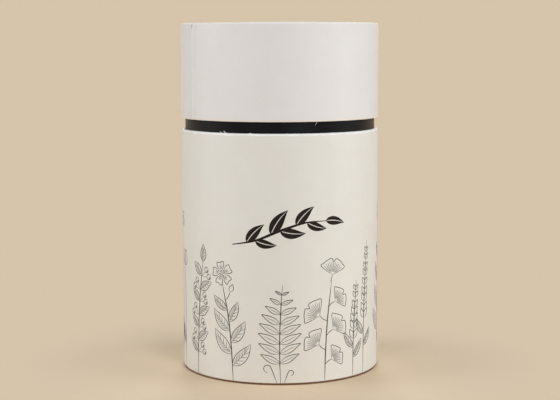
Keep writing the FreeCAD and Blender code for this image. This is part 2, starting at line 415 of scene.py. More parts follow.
def floor_paint(name, near, away):
    """Pale floor, a little warmer near the tube, that turns into the backdrop farther off."""
    graph = Surface(name)
    drift = graph.math("MULTIPLY", graph.noise(120 * MM, detail=3), FLOOR_DRIFT)
    reach = graph.math("ADD", graph.radius(), drift)
    tint = graph.mix(graph.ramp(reach, 0, 1, at=FLOOR_FADE), near, away)
    rough = graph.ramp(graph.noise(3 * MM), 0.75, 0.85)
    far = graph.math("MULTIPLY", graph.seen(), graph.ramp(graph.radius(), 0, 1, at=BACKDROP_REACH))
    glow = graph.node("Emission", "Emission", {"Color": BACKDROP})
    blend = graph.node("MixShader", "Shader", {0: far, 1: graph.shader.outputs["BSDF"], 2: glow})
    graph.fill(graph.tree.nodes["Material Output"], {"Surface": blend})
    return graph.finish(tint, rough, [], FLOOR_SHINE)


# Edge tints: partly wear, partly painted highlight where the rounded mouth and the cap's top edge catch the
# light, and painted warm bounce light along the cap's lower edge
WORN_AND_HIGHLIGHT_WHITE = srgb(246, 247, 249)
BODY_WEAR_AND_PAINTED_LIGHT = [(MOUTH, 0.8 * MM, WORN_AND_HIGHLIGHT_WHITE)]
CAP_WEAR_AND_PAINTED_LIGHT = [(FOLD_TOP, 0.5 * MM, srgb(232, 231, 229)), (CAP_FOOT, 0.75 * MM, srgb(231, 222, 206))]
PALE = srgb(240, 238, 237)
BODY_PAPER = paper("body_paper", srgb(226, 225, 219), srgb(224, 221, 215), srgb(240, 239, 234), BODY_WEAR_AND_PAINTED_LIGHT)
CAP_PAPER = paper("cap_paper", srgb(226, 224, 224), srgb(224, 221, 220), PALE, CAP_WEAR_AND_PAINTED_LIGHT)
LABEL_PAPER = paper("label_paper", srgb(230, 229, 227), srgb(226, 224, 222), PALE, shine=LABEL_SHINE)
CORE = cut_core("paper_core", WORN_AND_HIGHLIGHT_WHITE, srgb(232, 230, 227))
# Kraft board tinted darker than plain kraft, so the bare strip at the foot also carries painted contact
# shade
BOARD = board("kraft_board", srgb(124, 89, 58), srgb(92, 63, 39), srgb(158, 122, 86))
NECK_PAPER = dark_paper("neck_paper", srgb(4, 4, 5), srgb(17, 16, 18))
LINING = lining("lining_paper", srgb(225, 219, 206), srgb(214, 206, 191))
BASE_PAPER = paper("base_paper", srgb(224, 219, 208), srgb(217, 210, 197), srgb(238, 234, 226))
# Grey painted shade in the notch at the top of the cap's overlap, where the dent would be in shadow
NOTCH_SHADE = cut_core("notch_painted_shade", srgb(176, 176, 172), srgb(154, 153, 149))
BACKDROP = srgb(214, 196, 171)
FLOOR_PAINT = floor_paint("floor_paint", srgb(231, 211, 183), srgb(222, 217, 209))
PRINT_INK = ink("print_ink", srgb(38, 36, 36), srgb(84, 80, 76))
BRUSH_INK = ink("brush_ink", srgb(24, 15, 10), srgb(38, 29, 24))


# Mesh building

def place_at(angle, radius, height):
    """A place round the axis."""
    return Vector((radius * cos(angle), radius * sin(angle), height))


def new_object(name, data):
    """A new object in the scene."""
    item = bpy.data.objects.new(name, data)
    bpy.context.scene.collection.objects.link(item)
    return item


def angles_round(steps, fine=()):
    """Even angles once round the axis, with finer ones in the (from, to, step) degree ranges."""
    found = {round(360 * index / steps, 4) for index in range(steps)}
    for first, last, step in fine:
        count = round((last - first) / step)
        found |= {round((first + (last - first) * index / count) % 360, 4) for index in range(count + 1)}
    return [radians(angle) for angle in sorted(found)]


def make_piece(name, points, faces, slots, materials, body, replaced=()):
    """A mesh object that rides on a body and replaces CAD nodes."""
    mesh = bpy.data.meshes.new(name)
    mesh.from_pydata(points, [], faces)
    for material in materials:
        mesh.materials.append(material)
    mesh.polygons.foreach_set("material_index", slots)
    mesh.shade_smooth()
    mesh.set_sharp_from_angle(angle=SHARP_EDGE)
    mesh.validate()
    piece = new_object(name, mesh)
    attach(piece, body)
    if replaced:
        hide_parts(*replaced)


def revolve(name, materials, body, slot, node, outline, angles, shape):
    """A piece for a CAD node: an outline of (radius, height, share, slot) corners swept round the axis.

    It runs up the outside and down the inside. shape moves points by their share, and radius 0 is the axis.
    """
    points, rings = [], []
    for radius, height, share, _ in outline:
        if radius == 0:
            rings.append([len(points)] * len(angles))
            points.append((0, 0, height))
            continue
        rings.append(range(len(points), len(points) + len(angles)))
        for angle in angles:
            points.append(place_at(angle, *shape(angle, radius, height, share)))
    following = rings[1:] + rings[:1]
    if outline[0][0] == outline[-1][0] == 0:
        following.pop()
    faces, slots = [], []
    for ring, after, corner in zip(rings, following, outline):
        for index in range(len(angles)):
            beside = (index + 1) % len(angles)
            loop = dict.fromkeys((ring[index], ring[beside], after[beside], after[index]))
            faces.append(tuple(loop))
            slots.append(corner[3])
    make_piece(name, points, faces, slots, materials, body, [node])


def loft(rings, points, faces):
    """Adds a closed skin over rings of points, with a cap at each end."""
    sides = len(rings[0])
    start = len(points)
    for ring in rings:
        points.extend(ring)
    end = len(points) - sides
    for low in range(start, end, sides):
        for corner in range(sides):
            beside = (corner + 1) % sides
            faces.append((low + corner, low + beside, low + sides + beside, low + sides + corner))
    faces.append(tuple(range(start + sides - 1, start - 1, -1)))
    faces.append(tuple(range(end, len(points))))


def wall(radius, low, high, steps, share, slot):
    """Outline corners up a wall, or down it if low is above high."""
    return [(radius, low + (high - low) * step / steps, share, slot) for step in range(steps + 1)]


def turn_over(radius, height, rounding):
    """Radii and heights of a quarter turn from a wall to a level face."""
    turns = [pi / 2 * step / TURN_STEPS for step in range(TURN_STEPS + 1)]
    low, inside = height - rounding, radius - rounding
    return [(inside + rounding * cos(turn), low + rounding * sin(turn)) for turn in turns]


def rolled_over(radius, height, rounding):
    """Outline corners of a quarter turn, moved less towards its top."""
    turn = turn_over(radius, height, rounding)
    return [(*corner, 1 - step / TURN_STEPS, 0) for step, corner in enumerate(turn)]


def fixed(corners):
    """Outline corners that nothing moves."""
    return [(*corner, 0, 0) for corner in corners]


# Shape of the glued papers

def wave(angle, height, seed):
    """The unevenness of paper glued on a tube, never outwards."""
    spot = place_at(angle, BODY_R, height) / WAVE_LENGTH
    return WAVE_DEPTH * (noise.noise(spot + Vector((seed, 0, 0))) - 1)


def overlap(angle, seam):
    """How far a wrap's own end lifts it, as a share of its thickness."""
    first, last = seam
    degrees = math.degrees(angle) % 360
    rise = min(1, max(0, (degrees - first) / SEAM_RAMP))
    fall = min(1, max(0, (last - degrees) / CUT_WIDTH))
    return min(rise * rise * (3 - 2 * rise), fall)


def body_radius(angle, height):
    """The outside radius of the body paper."""
    return BODY_R + wave(angle, height, 0) + SEAM_SHARE * WRAP * overlap(angle, BODY_SEAM)


def cap_arc(angle, degrees):
    """The distance round the cap from an angle to one in degrees."""
    return abs(math.degrees(angle) % 360 - degrees) * pi / 180 * CAP_R


def cap_radius(angle, height):
    """The outside radius of the cap paper, with the valley and the notch beside its overlap."""
    valley = VALLEY_DEPTH * max(0, 1 - cap_arc(angle, VALLEY_ANGLE) / VALLEY_HALF)
    room = TICK_HALF * max(0, 1 - (FOLD_TOP - height) / TICK_HEIGHT)
    tick = TICK_DEPTH * max(0, 1 - cap_arc(angle, TICK_ANGLE) / room) if room > 0 else 0
    return CAP_R + wave(angle, height, 7) + SEAM_SHARE * WRAP * overlap(angle, CAP_SEAM) - valley - tick


def seam_detail(seam):
    """Finer angles at a wrap's overlap and at its cut."""
    first, last = seam
    return [(first, last, SEAM_STEP), (last - 2 * CUT_WIDTH, last + CUT_WIDTH, CUT_WIDTH / 2)]


def burr(angle):
    """How far the mouth stands up where its paper is torn."""
    raised = 0
    for degrees, half, tall in BURRS:
        turn = math.remainder(angle - FRONT - radians(degrees), tau)
        raised = max(raised, tall * MM * (1 - abs(turn) * BODY_R / (half * MM)))
    return raised


def make_body_paper():
    """The body's wrap, cut square at the foot and folded over the mouth to the neck."""
    inner = BODY_BOARD_R + GLUE
    rim = NECK_R + GLUE
    ledge = BODY_R - MOUTH_ROUND
    outline = wall(BODY_R, BODY_FOOT + CUT_BEVEL, MOUTH - MOUTH_ROUND, BODY_WALL_STEPS, 1, 0)[:-1]
    outline += rolled_over(BODY_R, MOUTH, MOUTH_ROUND)
    for step in range(1, LEDGE_STEPS + 1):
        outline.append((ledge + (rim - ledge) * step / LEDGE_STEPS, MOUTH, -step / LEDGE_STEPS, 1))
    outline.append((rim, BODY_BOARD_TOP, 0, 0))
    outline += fixed(reversed(turn_over(inner, BODY_BOARD_TOP, MOUTH_ROUND - WRAP)))
    outline += [(inner, BODY_FOOT, 0, 1), (BODY_R - CUT_BEVEL, BODY_FOOT, 0.5, 1)]

    def shape(angle, radius, height, share):
        torn = burr(angle) if height > MOUTH - MOUTH_ROUND else 0
        if share < 0:
            ragged = noise.noise(place_at(angle, RAGGED_TURNS, 0))
            return radius, height - share * RAGGED * ragged + (1 + share) * torn
        return radius + share * (body_radius(angle, height) - BODY_R), height + (1 - share) ** 2 * torn

    fine = seam_detail(BODY_SEAM)
    for degrees, half, _ in BURRS:
        middle, reach = math.degrees(FRONT) + degrees, math.degrees(half * MM / BODY_R)
        fine.append((middle - reach, middle + reach, reach / BURR_STEPS))
    labels = ("body_paper", [BODY_PAPER, CORE], "tube", "cream_wrap", "body_wrap")
    revolve(*labels, outline, angles_round(BODY_ROUND, fine), shape)


def make_board_tube(name, node, inner, rounding, body):
    """A rolled board tube with its plies slightly apart on both cut ends."""
    low, high, outer = extent(node)
    outline = [(outer, low, 0, 0), *fixed(turn_over(outer, high, rounding))]
    outline += ply_lines(outer - rounding, inner, high, -PLY_DIP)
    outline += [(inner, high, 0, 0), (inner, low, 0, 0)]
    outline += ply_lines(inner, outer, low, PLY_DIP)

    def shape(angle, radius, height, share):
        spot = place_at(angle, PLY_TURNS, radius / MM)
        return radius + share * PLY_SHIFT * noise.noise(spot), height

    revolve(name, [BOARD], body, "kraft_board", node, outline, angles_round(BODY_ROUND), shape)


def ply_lines(start, end, height, dip):
    """Outline corners across a cut end, dipped between the plies."""
    lines = 2 * PLIES
    step = end - start
    return [(start + step * line / lines, height + line % 2 * dip, 1, 0) for line in range(1, lines)]


def make_thin_tube(name, node, thickness, material, slot, body, seam, side):
    """A thin paper tube with a glued overlap."""
    low, high, outer = extent(node)
    outline = wall(outer, low, high, TUBE_STEPS, 1, 0) + wall(outer - thickness, high, low, TUBE_STEPS, 1, 0)
    for end in (TUBE_STEPS, -1):
        outline[end] = (*outline[end][:3], 1)
    lap = side * SEAM_SHARE * thickness

    def shape(angle, radius, height, share):
        return radius + wave(angle, height, outer / MM) / 2 + lap * overlap(angle, seam), height

    angles = angles_round(TUBE_ROUND, seam_detail(seam))
    revolve(name, [material, CORE], body, slot, node, outline, angles, shape)


def make_disc(name, node, material, slot, body):
    """A round paper disc with slight ripples."""
    low, high, radius = extent(node)
    reach = radius - DISC_EDGE
    places = [reach * step / DISC_RINGS for step in range(1, DISC_RINGS + 1)]
    outline = [(0, low, 0, 0), *((place, low, 1, 0) for place in places)]
    outline += [(radius, low + DISC_EDGE / 2, 0, 1), (radius, high - DISC_EDGE / 2, 0, 0)]
    outline += [(place, high, 1, 0) for place in reversed(places)]
    outline.append((0, high, 0, 0))

    def shape(angle, radius, height, share):
        spot = place_at(angle, radius, height) / RIPPLE_LENGTH
        inside = min(1, (reach - radius) / RIPPLE_LENGTH, radius / RIPPLE_LENGTH)
        return radius, height + share * inside * RIPPLE_DEPTH * noise.noise(spot)

    revolve(name, [material, CORE], body, slot, node, outline, angles_round(DISC_ROUND), shape)


def notch(angle, radius):
    """How deep the fold is notched by V cuts that widen inwards."""
    if radius >= NOTCH_END:
        return 0
    half = NOTCH_HALF * (NOTCH_END - radius) / (NOTCH_END - TURN_IN_R)
    pitch = 2 * pi / NOTCH_COUNT
    across = abs((angle / pitch) % 1 - 0.5) * pitch * radius
    return max(0, 1 - across / half)


def make_cap_paper():
    """The cap's wrap, rounded over the top edge and folded in with notches."""
    inner = CAP_BOARD_R + GLUE
    flat = CAP_R - FOLD_ROUND
    tick_foot = FOLD_TOP - TICK_HEIGHT
    outline = wall(CAP_R, CAP_FOOT + CUT_BEVEL, tick_foot, CAP_WALL_STEPS, 1, 0)
    outline += wall(CAP_R, tick_foot, FOLD_TOP - FOLD_ROUND, TICK_WALL_STEPS, 1, 0)[1:-1]
    outline += rolled_over(CAP_R, FOLD_TOP, FOLD_ROUND)
    for step in range(1, FOLD_STEPS + 1):
        outline.append((flat + (TURN_IN_R - flat) * step / FOLD_STEPS, FOLD_TOP, -1, step // FOLD_STEPS))
    outline.append((TURN_IN_R, CAP_BOARD_TOP, 0, 0))
    outline += fixed(reversed(turn_over(inner, CAP_BOARD_TOP, FOLD_ROUND - WRAP)))
    outline += [(inner, CAP_FOOT, 0, 1), (CAP_R - CUT_BEVEL, CAP_FOOT, 0.5, 1)]

    def shape(angle, radius, height, share):
        if share < 0:
            return radius, height - NOTCH_DEPTH * notch(angle, radius)
        return radius + share * (cap_radius(angle, height) - CAP_R), height

    labels = ("cap_paper", [CAP_PAPER, CORE], "cap", "white_wrap", "cap_wrap")
    revolve(*labels, outline, angles_round(CAP_ROUND, [*seam_detail(CAP_SEAM), TICK_FINE]), shape)


def make_cap_label():
    """The round paper on top, with the fold's edge and notches showing through."""
    step_r = TURN_IN_R - GLUE
    soft = LABEL_SOFT
    reaches = [step_r + soft * share for share in (-1, -0.5, 0, 0.5, 1)]
    span = CAP_LABEL_R - LABEL_EDGE - reaches[-1]
    reaches += [reaches[-1] + span * step / LABEL_RINGS for step in range(1, LABEL_RINGS + 1)]
    outline = [(0, CAP_BOARD_TOP, 0, 0), (step_r - WRAP, CAP_BOARD_TOP, 0, 0)]
    outline += [(step_r, CAP_BOARD_TOP, 0, 0), (step_r, FOLD_TOP, 0, 0)]
    outline += [(CAP_LABEL_R, FOLD_TOP, 0, 1), (CAP_LABEL_R, CAP_TOP - LABEL_EDGE, 0, 1)]
    outline += [(reach, CAP_TOP, 1, 0) for reach in reversed(reaches)]
    outline += [(step_r * step / HOLLOW_RINGS, CAP_TOP, 1, 0) for step in range(HOLLOW_RINGS - 1, 0, -1)]
    outline.append((0, FOLD_TOP, 0, 0))

    def shape(angle, radius, height, share):
        if not share:
            return radius, height
        inward = min(1, max(0, (step_r + soft - radius) / (2 * soft)))
        sunk = (CAP_TOP - FOLD_TOP) * inward * inward * (3 - 2 * inward)
        shown = notch(angle, radius) if radius > step_r + soft else 0
        return radius, height - sunk - LABEL_PRESS * shown

    labels = ("cap_label", [LABEL_PAPER, CORE], "cap", "white_wrap", "cap_top_paper")
    revolve(*labels, outline, angles_round(CAP_ROUND), shape)


def mouth_fibre(first, last, deep, rise, thick):
    """A fibre that stands up from the mouth: root, tip and thickness."""
    root = (first, BODY_R - deep * MM, MOUTH - FIBRE_ROOT)
    return root, (last, BODY_R - FIBRE_TIP, MOUTH + rise * MM), thick * MM


def make_fibres(name, fibres):
    """Loose paper fibres as thin tapered tubes, each a little bent."""
    points, faces = [], []
    first, spread = FIBRE_PHASE
    turns = [tau * corner / FIBRE_SIDES for corner in range(FIBRE_SIDES)]
    for root, tip, thick in fibres:
        start, end = [place_at(FRONT + radians(turn), *rest) for turn, *rest in (root, tip)]
        along = end - start
        out = Vector((start.x, start.y, 0)).normalized()
        side = along.cross(out).normalized()
        rings = []
        for step in range(FIBRE_STEPS + 1):
            share = step / FIBRE_STEPS
            middle = start + along * share + side * FIBRE_BEND * along.length * sin(pi * share)
            swell = sin(pi * (first + spread * share))
            half = thick / 2 * (FIBRE_THIN + (1 - FIBRE_THIN) * swell)
            rings.append([middle + (out * cos(turn) + side * sin(turn)) * half for turn in turns])
        loft(rings, points, faces)
    make_piece(name, points, faces, [0] * len(faces), [CORE], "tube")


# Plain layers. Board tubes: piece, node, inner radius, rounding of the upper edge, body
PLIES = 5
PLY_DIP = 0.04 * MM
PLY_SHIFT = 0.03 * MM
PLY_TURNS = 40
BOARD_TUBES = [
    ("body_board", "body_tube", NECK_R + GLUE, MOUTH_ROUND - WRAP, "tube"),
    ("neck_board", "neck_tube", LINER_R + GLUE, CUT_BEVEL, "tube"),
    ("cap_board", "cap_tube", CAP_LINER_R + GLUE, FOLD_ROUND - WRAP, "cap"),
]

# Paper tubes: piece, node, thickness, material, slot, body, overlap, and 1 if it stands out or -1 inwards
TUBE_STEPS = 24
PAPER_TUBES = [
    ("neck_paper", "neck_wrap", NECK_SHEET, NECK_PAPER, "black_paper", "tube", NECK_SEAM, 1),
    ("inside_lining", "inner_liner", LINER, LINING, "lining_paper", "tube", LINING_SEAM, -1),
    ("cap_lining", "cap_liner", LINER, LINING, "lining_paper", "cap", CAP_LINING_SEAM, -1),
]

# Paper discs: piece, node, material, slot, body
DISC_EDGE = 0.05 * MM
DISC_RINGS = 24
PAPER_DISCS = [
    ("floor_lining", "floor_liner", LINING, "lining_paper", "tube"),
    ("base_sheet", "base_paper", BASE_PAPER, "cream_wrap", "tube"),
    ("cap_ceiling", "cap_disc_liner", LINING, "lining_paper", "cap"),
]


def make_layers():
    """Every layer of board and paper."""
    make_body_paper()
    make_cap_paper()
    make_cap_label()
    for row in BOARD_TUBES:
        make_board_tube(*row)
    for row in PAPER_TUBES:
        make_thin_tube(*row)
    for row in PAPER_DISCS:
        make_disc(*row)
    for node in ("base_disc", "cap_disc"):
        mesh = frame["nodes"][node].data
        mesh.materials.clear()
        mesh.materials.append(BOARD)
    make_fibres("mouth_fibres", [mouth_fibre(*row) for row in MOUTH_FIBRES])
    make_fibres("neck_lint", [NECK_LINT])


# Printed drawing, in millimetres on the unrolled body paper: across from the middle of the front, and height

class Pen:
    """Strokes as thin closed ribbons on a paper, given by its outside radius."""

    def __init__(self, paper_radius=body_radius):
        self.paper_radius = paper_radius
        self.points = []
        self.faces = []
        self.chance = random.Random(DRAWING_SEED)
        noise.seed_set(DRAWING_SEED)

    def vary(self, low, high):
        """The next chance value of a range."""
        return self.chance.uniform(low, high)

    def on_paper(self, spot, rise):
        """The place of a spot on the unrolled paper, raised from it."""
        height = spot.y * MM
        angle = FRONT + spot.x * MM / BODY_R
        return place_at(angle, self.paper_radius(angle, height) + rise, height)

    def ribbon(self, path, halves):
        """A ribbon along a path, with a half width at each point."""
        columns = 1 + int(2 * max(halves) / BRUSH_CELL)
        shares = [2 * column / columns - 1 for column in range(columns + 1)]
        last = len(path) - 1
        rings = []
        for index, (spot, half) in enumerate(zip(path, halves)):
            along = (path[min(index + 1, last)] - path[max(index - 1, 0)]).normalized()
            side = Vector((-along.y, along.x))
            places = [spot + side * half * share for share in shares]
            lower = [self.on_paper(place, -INK_ROOT) for place in places]
            rings.append(lower + [self.on_paper(place, INK_RISE) for place in reversed(places)])
        loft(rings, self.points, self.faces)

    def line(self, spots, width):
        """A slightly unsteady pen stroke through a few spots, thinner at its ends."""
        path = [unsteady(spot) for spot in smooth(spots, PEN_STEP)]
        last = len(path) - 1
        nears = [min(index, last - index) / last / PEN_TAPER for index in range(last + 1)]
        self.ribbon(path, [width / 2 * min(1, PEN_END + (1 - PEN_END) * near) for near in nears])

    def dot(self, spot, width):
        """A small round dab."""
        reach = Vector((width / 2, 0))
        path = [spot + reach * along for along, _ in DAB]
        self.ribbon(path, [width / 2 * across for _, across in DAB])

    def finish(self, name, material, body="tube", slot="print_ink"):
        """Makes the strokes one piece of a body."""
        make_piece(name, self.points, self.faces, [0] * len(self.faces), [material], body)


def polar(angle, length):
    """A step in the unrolled plane."""
    return Vector((cos(angle), sin(angle))) * length


def smooth(spots, spacing):
    """Evenly spaced points on a smooth curve through the spots."""
    curve = []
    ends = [spots[0] * 2 - spots[1], *spots, spots[-1] * 2 - spots[-2]]
    for before, first, second, after in zip(ends, ends[1:], ends[2:], ends[3:]):
        count = max(2, math.ceil((second - first).length / spacing))
        for step in range(count):
            t = step / count
            bend = (second - before) * t + (before * 2 - first * 5 + second * 4 - after) * t * t
            bend += (first * 3 - second * 3 + after - before) * t * t * t
            curve.append(first + bend / 2)
    curve.append(spots[-1])
    return curve


def unsteady(spot):
    """The spot as an unsteady hand draws it."""
    drift = noise.noise_vector(Vector((spot.x, spot.y, 0)) / PEN_WAVE)
    return spot + Vector((drift.x, drift.y)) * PEN_WOBBLE


def arc_spots(base, heading, length, bend, count):
    """Spots along an arc that starts at base and turns by bend."""
    spots = [base]
    for index in range(count):
        spots.append(spots[-1] + polar(heading + bend * (index + 0.5) / count, length / count))
    return spots


def ring(centre, radius, start, steps):
    """Spots once round a circle."""
    return [centre + polar(start + tau * step / steps, radius) for step in range(steps + 1)]


def heading_at(spots, index):
    """The direction of a line of spots at one of them."""
    along = spots[min(index + 1, len(spots) - 1)] - spots[max(index - 1, 0)]
    return math.atan2(along.y, along.x)


def end_heading(spots):
    """The direction of a line of spots at its end."""
    return heading_at(spots, len(spots) - 1)


def leaf_edge(spine, breadth, side, fullest=LEAF_FULLEST):
    """One edge of a leaf round its spine."""
    last = len(spine) - 1
    edge = []
    for index, spot in enumerate(spine):
        half = breadth / 2 * sin(pi * (index / last) ** fullest)
        edge.append(spot + polar(heading_at(spine, index) + side * pi / 2, half))
    return edge


def leaf(pen, base, heading, length, breadth, bend):
    """A leaf with its midrib, and closer veins on its shaded half."""
    spine = arc_spots(base, heading, length, bend, LEAF_STEPS)
    pen.line(spine[:-1], VEIN)
    for side, veins in LEAF_VEINS:
        edge = leaf_edge(spine, breadth, side)
        pen.line(edge, OUTLINE)
        for vein in range(veins):
            index = 1 + round(VEINED_STEPS * vein / veins)
            middle = spine[index + 1].lerp(edge[index + 1], VEIN_MIDDLE)
            tip = spine[index + 2].lerp(edge[index + 2], VEIN_TIP)
            pen.line([spine[index], middle, tip], VEIN)


def teardrop(pen, base, heading, length, breadth):
    """A small closed bud or leaflet."""
    spine = arc_spots(base, heading, length, bend=0, count=BUD_STEPS)
    right, left = leaf_edge(spine, breadth, -1), leaf_edge(spine, breadth, 1)
    pen.line(right + left[-2::-1], OUTLINE)


# Flower: shares of its radius, and turns as shares of half a petal
PETAL = ((0.24, -0.35), (0.6, -0.8), (0.95, -0.52), (0.86, 0), (0.95, 0.52), (0.6, 0.8), (0.24, 0.35))
PETAL_LINES = (-0.4, -0.1, 0.25)
PETAL_LINE_ROOT = (0.34, 0.7)
PETAL_LINE_TIP = (0.58, 0.72)
STAMEN_SHIFT = (-0.2, 0.2)
STAMEN_ROOT = 0.05
STAMEN_TIP = (0.2, 0.3)
ANTHER = 0.42


def blossom(pen, centre, radius, petals, turn):
    """An open flower with notched petals and dotted stamens."""
    half = pi / petals
    root_reach, root_turn = PETAL_LINE_ROOT
    for petal in range(petals):
        axis = turn + 2 * half * petal
        pen.line([centre + polar(axis + half * off, radius * reach) for reach, off in PETAL], OUTLINE)
        for off in PETAL_LINES:
            root = centre + polar(axis + half * off * root_turn, radius * root_reach)
            tip = centre + polar(axis + half * off, radius * pen.vary(*PETAL_LINE_TIP))
            pen.line([root, tip], VEIN)
    for stamen in range(2 * petals):
        axis = turn + half * stamen + pen.vary(*STAMEN_SHIFT)
        tip = centre + polar(axis, radius * pen.vary(*STAMEN_TIP))
        pen.line([centre + polar(axis, radius * STAMEN_ROOT), tip], VEIN)
        pen.dot(tip, ANTHER)


# Berry: reaches and angles of its shading lines, and the eye's angle, reach and width
BERRY_SHADES = (0.78, 0.56, 0.34)
SHADE_ANGLES = (-1.5, -0.7, 0.1)
BERRY_EYE = (2.2, 0.45, 0.3)


def berry(pen, centre, radius):
    """A round berry with a shaded side and a dark eye."""
    pen.line(ring(centre, radius, start=0.3, steps=8), OUTLINE)
    for reach in BERRY_SHADES:
        pen.line([centre + polar(angle, radius * reach) for angle in SHADE_ANGLES], VEIN)
    angle, reach, width = BERRY_EYE
    pen.dot(centre + polar(angle, radius * reach), width)


# Fern: spine points for each pair, bare share of the stalk, and leaflets in shares of the frond's length
FROND_STEPS = 4
FROND_BARE = 0.25
FROND_SWELL = (0.18, 0.82)
LEAFLET = 0.22
LEAFLET_LEAST = 0.8
LEAFLET_TURN = 1.12
LEAFLET_BREADTH = 0.3
LEAFLET_RIB = 0.75


def frond(pen, base, heading, length, bend, pairs):
    """A fern frond with paired leaflets that shorten towards its tip."""
    spine = arc_spots(base, heading, length, bend, FROND_STEPS * pairs)
    pen.line(spine, FROND_STEM)
    start, spread = FROND_SWELL
    for pair in range(round(FROND_BARE * pairs), pairs):
        index = FROND_STEPS * pair
        reach = LEAFLET * length * sin(pi * (start + spread * (pair / pairs))) + LEAFLET_LEAST
        for side in (-1, 1):
            out = heading_at(spine, index) + side * LEAFLET_TURN
            teardrop(pen, spine[index], out, reach, LEAFLET_BREADTH * reach)
            pen.line(arc_spots(spine[index], out, LEAFLET_RIB * reach, bend=0, count=3), VEIN)


# Seed head in shares of its size: crown, and ribs as height and spread at both ends
POD_MIDDLE = 0.55
POD_RADIUS = 0.5
POD_TOP = 1.1
CROWN_HALF = 0.42
CROWN_RISE = 0.14
CROWN_POINTS = 3
POD_RIBS = (-0.6, -0.25, 0.1, 0.4)
RIB_ENDS = ((0.12, 0.4), (0.95, 0.6))


def seed_pod(pen, base, heading, size):
    """A round seed head with ribs and a small crown."""
    level = heading - pi / 2
    middle = base + polar(heading, size * POD_MIDDLE)
    pen.line(ring(middle, size * POD_RADIUS, start=heading, steps=10), OUTLINE)
    top = base + polar(heading, size * POD_TOP)
    crown = []
    for step in range(2 * CROWN_POINTS + 1):
        out = top + polar(level, size * CROWN_HALF * (step / CROWN_POINTS - 1))
        crown.append(out + polar(heading, size * CROWN_RISE * (step % 2)))
    pen.line(crown, OUTLINE)
    for rib in POD_RIBS:
        side = polar(level, size * POD_RADIUS * rib)
        foot, tip = [base + polar(heading, size * up) + side * spread for up, spread in RIB_ENDS]
        pen.line([foot, middle + side, tip], VEIN)


# Fan leaf: stalk and blade in shares of its length, rim and veins in shares of the blade
FAN_STALK = 0.45
FAN_BLADE = 0.75
FAN_BOW = (1.5, 0.3)
FAN_RIM = (-1, -0.75, -0.45, -0.15, 0, 0.15, 0.45, 0.75, 1)
FAN_SPREAD = 1.05
FAN_SPLIT = 0.78
FAN_DROOP = 0.06
FAN_VEIN_TURNS = [0.18 * step for step in range(-5, 6)]
FAN_VEIN_ENDS = (0.18, 0.82)


def fan_leaf(pen, base, heading, length):
    """A split fan-shaped leaf on a stalk, with spread veins."""
    hub = base + polar(heading, length * FAN_STALK)
    bow_turn, bow = FAN_BOW
    pen.line([base, base.lerp(hub, 0.5) + polar(heading + bow_turn, bow), hub], OUTLINE)
    reach = length * FAN_BLADE
    rim = [hub]
    for share in FAN_RIM:
        depth = 1 - FAN_DROOP * abs(share) if share else FAN_SPLIT
        rim.append(hub + polar(heading + share * FAN_SPREAD, reach * depth))
    pen.line([*rim, hub], OUTLINE)
    for turn in FAN_VEIN_TURNS:
        pen.line([hub + polar(heading + turn, reach * share) for share in FAN_VEIN_ENDS], VEIN)


# Plants of the drawing: each grows from a foot on the paper's lower edge
FOOT_LINE = 0.9
STEM_CURVE = ((0, 0), (0.12, 0.3), (0.42, 0.65), (1, 1))
STEM_STEP = 1.0
UNEVEN = (0.9, 1.1)


def draw_stem(pen, foot, height, lean, room=0, width=STEM):
    """Draws a leaning stem with room for its head, and gives its spots."""
    rise = height - room - FOOT_LINE
    spots = [Vector((foot + lean * across, FOOT_LINE + rise * up)) for across, up in STEM_CURVE]
    stem = smooth(spots, STEM_STEP)
    pen.line(stem, width)
    return stem


def stations(stem, count, first, spread, spare=0):
    """Places along a stem: spot, heading, alternating side and share passed."""
    for number in range(count):
        index = round((len(stem) - spare) * (first + spread * number / count))
        yield stem[index], heading_at(stem, index), 1 if number % 2 else -1, number / count


def leafy_branch(pen, foot, height, lean):
    """Alternate leaves under an open flower and a bud."""
    stem = draw_stem(pen, foot, height, lean, room=5)
    pairs = round(height / 16)
    for spot, up, side, share in stations(stem, 2 * pairs, first=0.16, spread=0.66):
        out = up + side * pen.vary(0.75, 1.0)
        length = 13 * (1 - 0.35 * share) * pen.vary(*UNEVEN)
        leaf(pen, spot, out, length, breadth=0.38 * length, bend=-side * 0.45)
    centre = stem[-1] + Vector((0, 3.5))
    blossom(pen, centre, radius=5.2, petals=5, turn=pen.vary(0, 2))
    bud = round(len(stem) * 0.8)
    stalk = arc_spots(stem[bud], heading_at(stem, bud) - 1.0, length=4.5, bend=0.5, count=3)
    pen.line(stalk, OUTLINE)
    teardrop(pen, stalk[-1], end_heading(stalk), length=3.2, breadth=2.0)


def berry_branch(pen, foot, height, lean):
    """Small leaves, each with a pair of berries across the stem."""
    stem = draw_stem(pen, foot, height, lean, room=7)
    leaf_length = 7.5
    for spot, up, side, _ in stations(stem, round(height / 8), first=0.2, spread=0.76):
        length = leaf_length * pen.vary(*UNEVEN)
        leaf(pen, spot, up - side * 0.8, length, breadth=0.46 * length, bend=-side * 0.3)
        for turn in (0.95, 1.65):
            stalk_length = pen.vary(2.8, 3.6)
            stalk = arc_spots(spot, up + side * turn, stalk_length, bend=-side * 0.4, count=3)
            pen.line(stalk, VEIN)
            berry(pen, stalk[-1] + polar(end_heading(stalk), length=1.1), radius=1.15)
    leaf(pen, stem[-1], end_heading(stem), leaf_length, breadth=3.4, bend=0.2)


def fern(pen, foot, height, lean):
    """A tall frond over two young ones, still rolled up."""
    base = Vector((foot, FOOT_LINE))
    turn = -0.012 * lean
    frond(pen, base, pi / 2 - turn, height, bend=3 * turn, pairs=max(10, round(height / 4)))
    for side, share in ((-1, 0.17), (1, 0.12)):
        length = share * height
        root = base + Vector((1.5 * side, 0))
        rolled = arc_spots(root, pi / 2 - side * 0.35, length, bend=0, count=6)
        rolled += arc_spots(rolled[-1], end_heading(rolled), length, bend=-side * 4.5, count=12)[1:]
        pen.line(rolled, OUTLINE)


